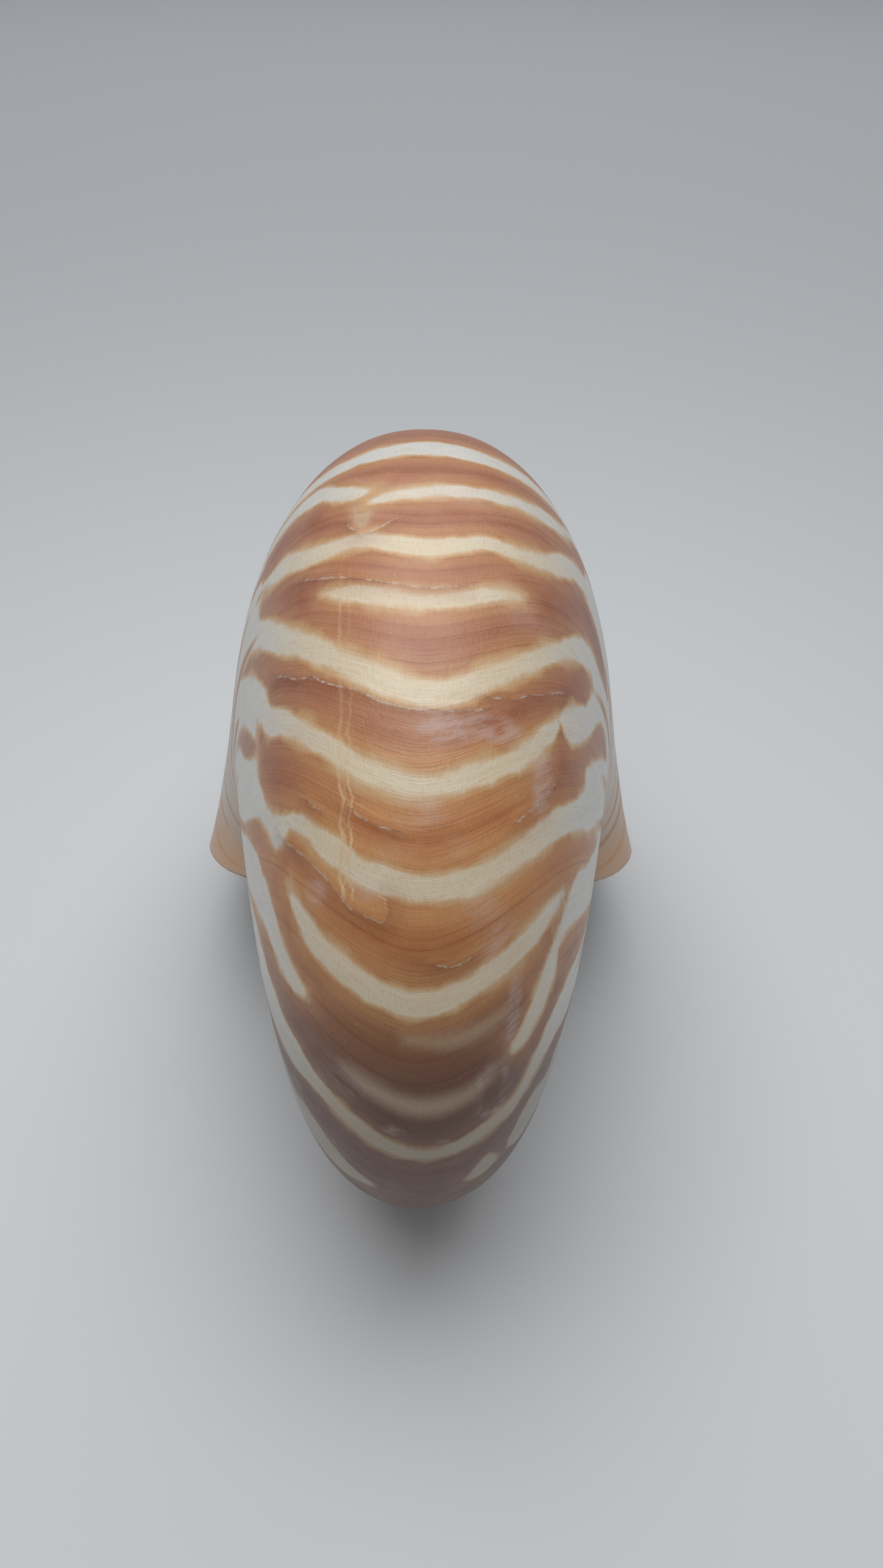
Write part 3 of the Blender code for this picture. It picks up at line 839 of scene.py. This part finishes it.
def add_lip(skin, grid, edge_points, wall_points, lip_wall):
    """The rounded lip, and at each umbilicus the web from it to the whorl within."""
    middle = (edge_points + wall_points) / 2
    outward = (edge_points - wall_points) / 2
    forward = place(LIP_KEEL_TURN - 90, settings().lip_edge / 2, 0.0)
    rows = [grid[0, 1:-1]]
    for i in range(1, LIP_RINGS):
        angle = math.pi * i / LIP_RINGS
        rows.append(skin.add(middle + outward * math.cos(angle) + forward * math.sin(angle)))
    rows.append(lip_wall)
    skin.quads(np.array(rows), LIP)
    last = grid[-1]
    webs = ((0, last[FLOOR.start : CALLUS_COLUMNS - 1 : -1]),
            (-1, last[FLOOR.stop - 1 : len(COLUMNS) - CALLUS_COLUMNS]))
    for end, old in webs:
        rim = [row[end] for row in rows]
        skin.triangles([(rim[0], rim[i], rim[i + 1]) for i in range(1, len(rim) - 1)], LIP)
        skin.between_rows([rim[0], grid[0, end]], [rim[-1], *old], CALLUS)


def add_callus(skin, seam, toward):
    """The callus that closes an umbilicus, inside the seam's spiral and the edge of the web."""
    points = np.concatenate(skin.points)[seam]
    centre = np.array([toward * settings().callus_height, 0.0, 0.0])
    rings = [np.array(seam)]
    for i in range(1, CALLUS_RINGS + 1):
        share = i / (CALLUS_RINGS + 1)
        ring = between(points, centre, share)
        ring[:, 0] = between(points[:, 0], centre[0], math.sin(math.pi / 2 * share))
        rings.append(skin.add(ring))
    skin.quads(np.array(rings), CALLUS, closed=True)
    skin.fan(rings[-1], centre, CALLUS)


def shell_skin():
    """The whole shell as one closed skin, about the coil's axis."""
    skin = Skin()
    grid = add_outside(skin)
    edge_points = skin.points[0].reshape(grid.shape + (3,))[0, 1:-1]
    wall_points = wall_row(LIP_TURNS, settings().lip_edge)
    lip_wall = skin.add(wall_points)
    wall, floor, ring = add_living_chamber(skin, lip_wall, grid[-1, FLOOR])
    add_septum(skin, wall, floor, ring)
    add_lip(skin, grid, edge_points, wall_points, lip_wall)
    last = grid[-1]
    add_callus(skin, np.append(grid[:, 0], last[1 : CALLUS_COLUMNS + 1]), -1)
    add_callus(skin, np.append(grid[:, -1], last[-2 : -CALLUS_COLUMNS - 2 : -1]), 1)
    return skin


def face_outward(data):
    """Turns every face's front outward."""
    mesh = bmesh.new()
    mesh.from_mesh(data)
    bmesh.ops.recalc_face_normals(mesh, faces=mesh.faces)
    mesh.to_mesh(data)
    mesh.free()


def stand_in_frame(data):
    """Leans the coil on to its lip, puts it where the frame has it, and returns where its axis is."""
    data.transform(Matrix.Rotation(-settings().resting_tilt, 4, "X"))
    low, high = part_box(SHELL_NODE)
    corners = np.array([vertex.co for vertex in data.vertices])
    middle = (corners[:, 1].min() + corners[:, 1].max()) / 2
    axis = Vector((0.0, (low.y + high.y) / 2 - middle, low.z - corners[:, 2].min()))
    data.transform(Matrix.Translation(axis))
    return axis


class Varying:
    """A number, a place or a colour that varies over a surface. Its sums and products are nodes."""

    def __init__(self, finish, socket):
        self.finish = finish
        self.socket = socket

    def __add__(self, other):
        return self.finish.math("ADD", self, other)

    def __sub__(self, other):
        return self.finish.math("SUBTRACT", self, other)

    def __mul__(self, other):
        return self.finish.math("MULTIPLY", self, other)

    def __abs__(self):
        return self.finish.math("ABSOLUTE", self)

    def larger(self, other):
        return self.finish.math("MAXIMUM", self, other)

    def ramp(self, start, end):
        """0 at start and 1 at end, smooth between."""
        made = self.finish.node("ShaderNodeMapRange", interpolation_type="SMOOTHSTEP")
        return self.finish.fill(made, {"Value": self, "From Min": start, "From Max": end}, "Result")

    def cover(self, share, colour):
        """Lays a colour over this one."""
        return self.finish.mix(share, self, colour)

    def tint(self, share, colour):
        """Multiplies this colour by another."""
        return self.finish.mix(share, self, colour, "MULTIPLY")

    def noise(self, scale, detail=2.0, roughness=0.5):
        """Noise over a place, or along a number."""
        place_socket, dimensions = ("Vector", "3D") if self.socket.type == "VECTOR" else ("W", "1D")
        made = self.finish.node("ShaderNodeTexNoise", noise_dimensions=dimensions)
        inputs = {place_socket: self, "Scale": scale, "Detail": detail, "Roughness": roughness}
        return self.finish.fill(made, inputs, "Fac")


class Finish:
    """A material and its nodes."""

    def __init__(self, name):
        self.material = bpy.data.materials.new(name)
        self.material.use_nodes = True
        self.tree = self.material.node_tree
        self.shader = self.tree.nodes["Principled BSDF"]

    def node(self, kind, **options):
        made = self.tree.nodes.new(kind)
        for name, value in options.items():
            setattr(made, name, value)
        return made

    def fill(self, node, inputs, output):
        """Links what varies to a node's inputs, sets what is the same all over, and returns an output."""
        for name, source in inputs.items():
            socket = node.inputs[name]
            if isinstance(source, Varying):
                self.tree.links.new(source.socket, socket)
            else:
                socket.default_value = (*source, 1.0) if socket.type == "RGBA" else source
        return Varying(self, node.outputs[output])

    def value(self, name):
        """One of the skin's values."""
        return self.fill(self.node("ShaderNodeAttribute", attribute_name=name), {}, "Fac")

    def in_space(self):
        """The place on the shell itself, in space."""
        return self.fill(self.node("ShaderNodeTexCoord"), {}, "Object")

    def on_plane(self, x, y):
        """A place on a flat drawing."""
        return self.fill(self.node("ShaderNodeCombineXYZ"), {"X": x, "Y": y}, "Vector")

    def math(self, operation, *sources):
        return self.fill(self.node("ShaderNodeMath", operation=operation), dict(enumerate(sources)), 0)

    def mix(self, share, first, second, blend="MIX"):
        made = self.node("ShaderNodeMix", data_type="RGBA", blend_type=blend)
        return self.fill(made, {0: share, 6: first, 7: second}, 2)

    def surface(self, inputs, height=None, distance=0.0):
        """Fills the shader's inputs, with a bump of this height where there is one. Returns the material."""
        self.fill(self.shader, inputs, 0)
        if height is not None:
            bump = self.fill(self.node("ShaderNodeBump"), {"Height": height, "Distance": distance}, 0)
            self.fill(self.shader, {"Normal": bump}, 0)
        return self.material


def brown_of(finish, across, turn, growth, plane, depth):
    """The brown of the stripes: redder over the chamber, honey on the back, and a dark umber lower down,
    which is painted shade.
    """
    brown = finish.mix(turn.ramp(*HONEY_TURNS), settings().red_brown, settings().honey)
    # Painted shade: the stripes go over to the dark umber lower on the back
    brown = brown.cover(turn.ramp(*SHADED_UMBER_TURNS), settings().umber)
    patches = plane.noise(0.11, detail=3.0).ramp(0.45, 0.7)
    brown = brown.tint(patches * 0.6, PATCH_TINT)
    near_edge = depth.ramp(2.6, 0.6) * turn.ramp(*GOLDEN_TURNS)
    brown = brown.cover(near_edge * 0.40, GOLDEN_EDGE)
    brown = brown.tint(depth.ramp(1.4, 4.4), CORE_TINT)
    brown = brown.tint(abs(across).ramp(9, 22) * 0.6, FLANK_TINT)
    streaks = growth.noise(0.75, detail=3.0).ramp(0.45, 0.7)
    brown = brown.tint(streaks * 0.6, STREAK_TINT)
    lines = growth.noise(3.4, detail=3.0).ramp(0.54, 0.70)
    fading = plane.noise(0.09).ramp(0.38, 0.62)
    return brown.tint(lines * (fading * 0.36 + 0.10), GROWTH_LINE_TINT)


def netting_of(finish, across, growth):
    """Fine broken lines along and across the growth."""
    long_lines = finish.on_plane(across * 3.2, growth)
    short_lines = finish.on_plane(across * 0.2, growth * 5.0)
    return long_lines.noise(1.0, 3.0, 0.6) + short_lines.noise(1.0, 3.0, 0.6)


def outside_finish():
    """Cream and brown stripes with feathered edges, growth lines, fine netting and old damage."""
    finish = Finish("striped_outside")
    turn, growth = finish.value("turn"), finish.value("growth")
    across = finish.value("girth") * GIRTH_SPAN
    plane = finish.on_plane(across, turn)
    grain = finish.on_plane(across * 0.35, growth)
    comb = finish.on_plane(across, growth * 0.25)
    waver = plane.noise(0.30) - 0.5
    fray = comb.noise(1.5, detail=4.0, roughness=0.6) - 0.5
    depth = fray * 0.45 + (waver * 1.1 + finish.value("stripe"))
    crispness = plane.noise(0.13).ramp(0.38, 0.62) * 1.1 + 0.75
    crisp_depth = depth * crispness
    brown = brown_of(finish, across, turn, growth, plane, depth)

    girth = abs(finish.value("girth"))
    cool = girth.ramp(*COOL_GIRTHS).larger(turn.ramp(*COOL_TURNS))
    white = finish.mix(cool, settings().cream, settings().flank_white)
    milky = grain.noise(0.6, detail=3.0).ramp(0.45, 0.75)
    white = white.tint(milky * 0.5, MILKY_TINT)
    edge = finish.mix(crisp_depth.ramp(-0.5, 0.35), white, settings().edge_tan)
    # Painted shade: greyer lower on the back
    edge = edge.tint(turn.ramp(*LOW_SHADE_TURNS), LOW_SHADE_TINT)
    colour = finish.mix(crisp_depth.ramp(0.1, 1.2), edge, brown)

    faint = fray * 0.6 + finish.value("faint")
    faint = faint.ramp(-1.6, 1.6) * depth.ramp(0.2, 1.6)
    colour = colour.cover(faint * 0.55, FAINT_BAND)
    ear = turn.ramp(*EAR_TAN_TURNS) * girth.ramp(*EAR_TAN_GIRTHS)
    tan = (girth.ramp(*UMBILICUS_GIRTHS) * 0.55).larger(ear * 0.85)
    colour = colour.cover(tan, settings().ear_tan)
    netting = netting_of(finish, across, growth)
    colour = colour.tint(netting.ramp(0.95, 1.25) * 0.5, NETTING_TINT)

    colour, height = worn(finish, colour, turn, plane, grain)
    height = grain.noise(1.1, detail=4.0) * 0.7 + (height + netting)
    rough = finish.value("scuff") * 0.15 + (plane.noise(0.25, detail=3.0) * 0.20 + 0.26)
    return finish.surface({"Base Color": colour, "Roughness": rough, "Coat Weight": 0.10,
                           "Coat Roughness": 0.28}, height, NETTING_HEIGHT)


def scratched(finish, colour, turn, plane):
    """Two long pale scratches that wander side by side down the back."""
    offset = finish.value("scratch")
    wander = turn.noise(0.5) - 0.5
    within = turn.ramp(SCRATCH_START, SCRATCH_START + 5) * turn.ramp(SCRATCH_END, SCRATCH_END - 2)
    within = within * (plane.noise(0.45, detail=3.0).ramp(0.3, 0.6) * 0.6 + 0.4)
    deeper = turn.ramp(*SCRATCH_DEEPEST_TURNS) * 0.25 + turn.ramp(*SCRATCH_DEEPER_TURNS) * 0.36
    for middle, width, swing, share in SCRATCH_STRANDS:
        line = abs(offset - (wander * swing + middle)).ramp(width, width * 0.2)
        colour = colour.cover(line * (deeper + share) * within, SCRATCH_PALE)
    return colour


def worn(finish, colour, turn, plane, grain):
    """Old damage: scratches, broken growth lines, dull scuffs, white specks, and a pale haze that is partly
    painted sheen. Returns colour and height.
    """
    scuff = finish.value("scuff")
    colour = scratched(finish, colour, turn, plane)
    ragged = plane.noise(1.6, detail=4.0, roughness=0.7) - 0.5
    crack = ragged * 0.8 + finish.value("crack")
    reached = finish.value("crack_near").ramp(1.3, 0.7)
    shade = crack.ramp(0.9, 0.1) * crack.ramp(-0.04, 0.08)
    colour = colour.tint(shade * reached * 0.4, CRACK_SHADE)
    colour = colour.tint(finish.value("below") * 0.55, BELOW_CRACK_TINT)
    broken = plane.noise(0.7, detail=3.0).ramp(0.42, 0.56) * 0.65 + 0.1
    colour = colour.cover(abs(crack).ramp(0.13, 0.02) * reached * broken, CRACK_PALE)
    cloud = grain.noise(0.9, detail=5.0, roughness=0.7)
    # The pale haze: dull scuffs, and near the keel a painted sheen that stands in for the lamp's soft
    # reflection
    haze = scuff * cloud.ramp(0.32, 0.62)
    spread = plane.noise(0.10, detail=4.0, roughness=0.65).ramp(0.56, 0.76)
    colour = colour.cover((haze * 0.46).larger(spread * 0.10), SCUFF_AND_SHEEN_HAZE)
    speck = plane.noise(3.4, detail=1.0).ramp(0.755, 0.80)
    colour = colour.cover(speck * 0.7, SPECK_WHITE)
    return colour, crack.ramp(0.1, -0.1) * reached + cloud * scuff


def nacre_finish():
    """Pearl with a faint play of pink and green, and a dark film on the whorl inside the mouth."""
    finish = Finish("nacre")
    place_in, rim = finish.in_space(), finish.value("rim")
    colour = finish.mix(place_in.noise(38.0, detail=3.0).ramp(0.35, 0.62), settings().pearl, NACRE_PINK)
    colour = colour.cover(place_in.noise(24.0).ramp(0.52, 0.72), NACRE_GREEN)
    film = rim.ramp(*FILM_START_RIMS) * rim.ramp(*FILM_END_RIMS)
    colour = colour.cover(film * 0.9, settings().film)
    return finish.surface({"Base Color": colour, "Roughness": 0.16, "Metallic": 0.18, "Coat Weight": 0.5,
                           "Coat Roughness": 0.08}, place_in.noise(260.0, detail=3.0), NACRE_HEIGHT)


def callus_finish():
    """The smooth porcelain callus, cream with a tan edge."""
    finish = Finish("callus")
    place_in = finish.in_space()
    cloud = place_in.noise(60.0, detail=3.0).ramp(0.45, 0.75)
    colour = finish.mix(cloud, settings().cream, settings().edge_tan)
    colour = colour.cover(0.6, settings().cream)
    return finish.surface({"Base Color": colour, "Roughness": 0.22}, place_in.noise(180.0), CALLUS_HEIGHT)


def lip_finish():
    """The lip's bare edge, brownish and a little rough."""
    finish = Finish("lip_edge")
    chips = finish.in_space().noise(420.0, detail=3.0)
    colour = finish.mix(chips.ramp(0.4, 0.65), settings().edge_tan, settings().umber)
    return finish.surface({"Base Color": colour, "Roughness": 0.5}, chips, LIP_HEIGHT)


def added(name, data):
    """A new object in the scene."""
    made = bpy.data.objects.new(name, data)
    bpy.context.scene.collection.objects.link(made)
    return made


def soft_light(name, location, size, power, colour):
    """A square soft light aimed at the shell."""
    data = bpy.data.lights.new(name, "AREA")
    data.shape = "SQUARE"
    data.size = size
    data.energy = power
    data.color = colour
    lamp = added(name, data)
    lamp.location = location
    lamp.rotation_euler = (Vector(LIGHTS_AIM) - Vector(location)).to_track_quat("-Z", "Y").to_euler()


def add_floor():
    """A wide plain floor just under the shell."""
    half = FLOOR_SIZE / 2
    corners = ((-half, -half), (half, -half), (half, half), (-half, half))
    data = bpy.data.meshes.new("studio_floor")
    data.from_pydata([(x, y, FLOOR_HEIGHT) for x, y in corners], [], [(0, 1, 2, 3)])
    colour = bpy.context.scene.nautilus_stage.floor_colour
    data.materials.append(Finish("plain_floor").surface({"Base Color": colour, "Roughness": 0.85}))
    floor = added("studio_floor", data)


def add_camera():
    """The camera, on the keel's plane, by its turn round the coil's axis."""
    angle = math.radians(CAMERA_TURN) - settings().resting_tilt
    out = Vector((0.0, math.cos(angle), math.sin(angle)))
    up = Vector((0.0, out.z, -out.y))
    pitch = math.radians(CAMERA_PITCH)
    look = up * math.sin(pitch) - out * math.cos(pitch)
    data = bpy.data.cameras.new("camera")
    data.sensor_width = SENSOR_LONG_SIDE
    data.lens = bpy.context.scene.nautilus_stage.focal_length
    data.shift_x = CAMERA_SHIFT
    data.clip_start = 0.01
    camera = added("camera", data)
    axis = Vector(bpy.data.objects["nautilus_shell"]["coil_axis"])
    camera.location = axis + out * CAMERA_DISTANCE * settings().mouth_radius
    roll = Matrix.Rotation(math.radians(CAMERA_ROLL), 4, "Z")
    camera.rotation_euler = (look.to_track_quat("-Z", "Y").to_matrix().to_4x4() @ roll).to_euler()
    bpy.context.scene.camera = camera


class NAUTILUS_OT_add_shell(bpy.types.Operator):
    """Model the nautilus shell with its stripes, its nacre and its callus"""

    bl_idname = "nautilus.add_shell"
    bl_label = "Add Nautilus Shell"

    def execute(self, context):
        data = shell_skin().mesh("nautilus_shell")
        face_outward(data)
        axis = stand_in_frame(data)
        data.shade_smooth()
        for finish in (outside_finish(), nacre_finish(), callus_finish(), lip_finish()):
            data.materials.append(finish)
        shell = added("nautilus_shell", data)
        shell["coil_axis"] = axis
        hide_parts(SHELL_NODE)
        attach(shell, "root")
        return {"FINISHED"}


class NAUTILUS_OT_add_stage(bpy.types.Operator):
    """Add the pale floor, the soft lights and the camera"""

    bl_idname = "nautilus.add_stage"
    bl_label = "Add Studio"

    def execute(self, context):
        stage = context.scene.nautilus_stage
        add_floor()
        soft_light("key_light", KEY_PLACE, KEY_SIZE, stage.key_power, KEY_COLOUR)
        soft_light("room_light", ROOM_PLACE, ROOM_SIZE, stage.room_power, ROOM_COLOUR)
        world = bpy.data.worlds.new("studio")
        world.use_nodes = True
        sky = world.node_tree.nodes["Background"]
        sky.inputs["Color"].default_value = SKY_COLOUR
        sky.inputs["Strength"].default_value = stage.sky_strength
        context.scene.world = world
        context.scene.view_settings.view_transform = "Standard"
        add_camera()
        return {"FINISHED"}


class NAUTILUS_PT_panel(bpy.types.Panel):
    """The shell's and the studio's settings, and a button for each"""

    bl_idname = "NAUTILUS_PT_panel"
    bl_label = "Nautilus Shell"
    bl_space_type = "VIEW_3D"
    bl_region_type = "UI"
    bl_category = "Nautilus"

    def draw(self, context):
        layout = self.layout
        groups = ((context.scene.nautilus_shell, "nautilus.add_shell"),
                  (context.scene.nautilus_stage, "nautilus.add_stage"))
        for group, operator in groups:
            column = layout.column(align=True)
            for name in group.__annotations__:
                column.prop(group, name)
            column.operator(operator)


CLASSES = (NautilusShellSettings, NautilusStageSettings, NAUTILUS_OT_add_shell, NAUTILUS_OT_add_stage,
           NAUTILUS_PT_panel)


def register():
    for cls in CLASSES:
        bpy.utils.register_class(cls)
    bpy.types.Scene.nautilus_shell = bpy.props.PointerProperty(type=NautilusShellSettings)
    bpy.types.Scene.nautilus_stage = bpy.props.PointerProperty(type=NautilusStageSettings)


def unregister():
    del bpy.types.Scene.nautilus_stage
    del bpy.types.Scene.nautilus_shell
    for cls in reversed(CLASSES):
        bpy.utils.unregister_class(cls)


def main():
    register()
    bpy.ops.nautilus.add_shell()
    bpy.ops.nautilus.add_stage()


if __name__ == "__main__":
    main()
